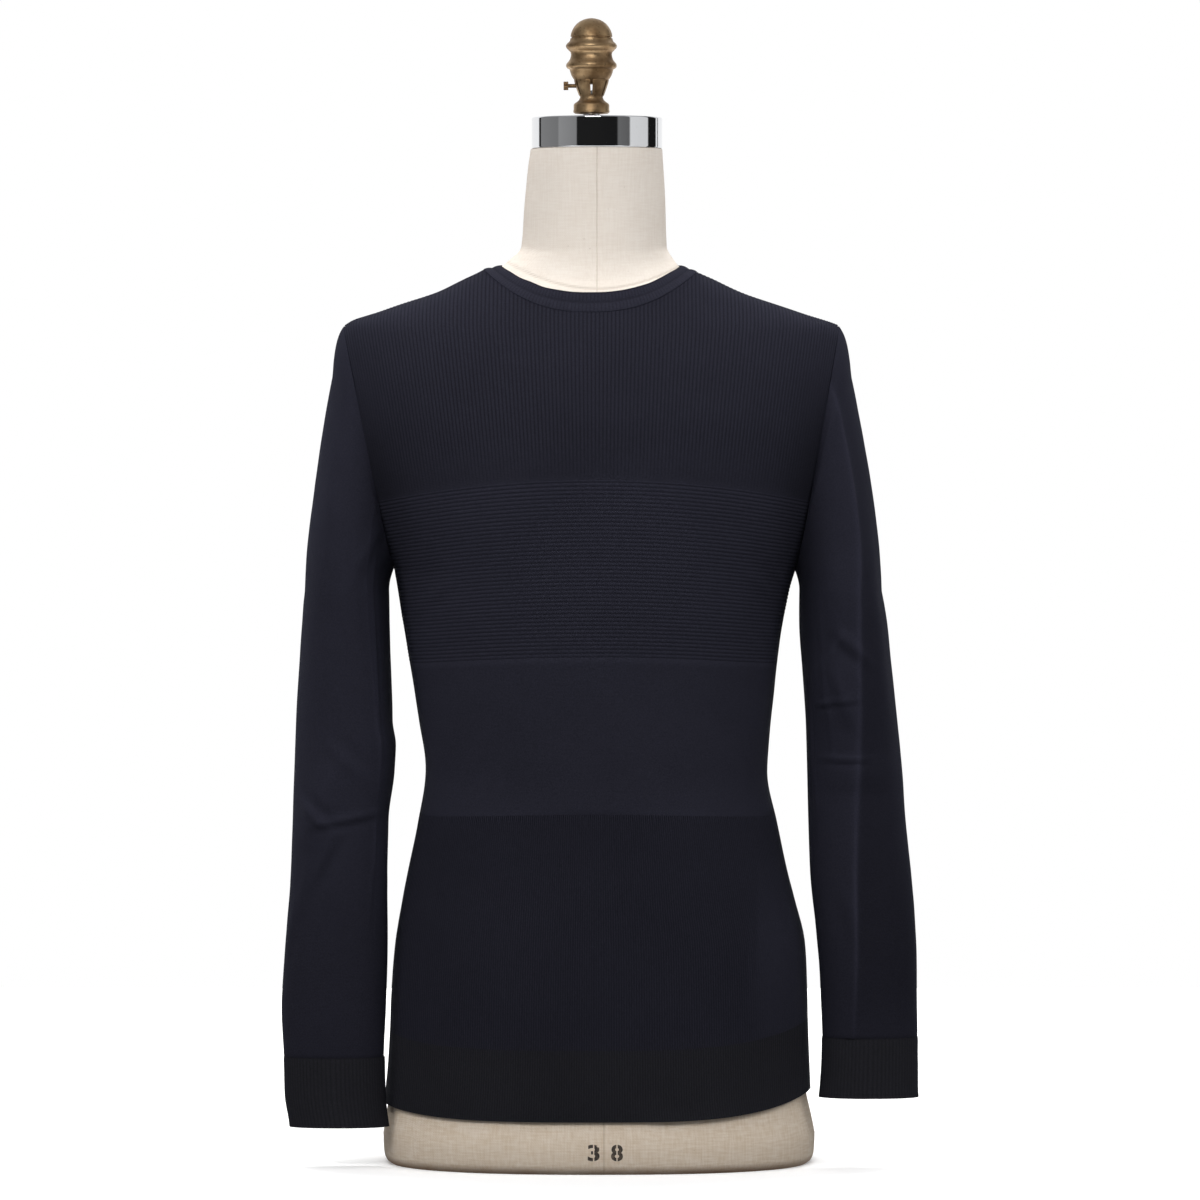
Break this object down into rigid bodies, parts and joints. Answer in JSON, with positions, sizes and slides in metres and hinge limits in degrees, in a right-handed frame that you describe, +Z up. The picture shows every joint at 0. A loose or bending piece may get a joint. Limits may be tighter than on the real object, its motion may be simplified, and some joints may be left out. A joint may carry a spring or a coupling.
{
  "type": "crewneck sweater on a limbless dress form",
  "caption": "Fine-knit crewneck sweater with a ribbed yoke, chest band, cuffs and hem, worn by a limbless canvas dress form with a chrome neck cap and a brass finial.",
  "frame": {"origin": "centre of the dress form's flat base, on the surface that it stands on", "axes": "+Z up along the form, +X to the viewer's right, which is the wearer's left, +Y towards the wearer's back"},
  "size_m": [0.5191, 0.2508, 0.938],
  "materials": {
    "navy_knit": "navy fine-gauge knit, matt with a soft nap",
    "navy_rib": "navy ribbed knit, matt",
    "cream_canvas": "cream canvas pulled taut, matt, browner and lightly stained at the bottom",
    "chrome": "polished",
    "steel": "bright",
    "aged_brass": "aged, darker in the grooves"
  },
  "bodies": {
    "root": {"front": "navy_knit", "back": "navy_knit", "sleeve_right": "navy_knit", "sleeve_left": "navy_knit", "cuff_right": "navy_rib", "cuff_left": "navy_rib", "hem_band": "navy_rib", "collar": "navy_rib", "form_body": "cream_canvas", "neck_cap": "chrome", "pole": "steel", "clamp_sleeve": "aged_brass", "finial": "aged_brass", "thumb_screw": "aged_brass"}
  },
  "joints": []
}
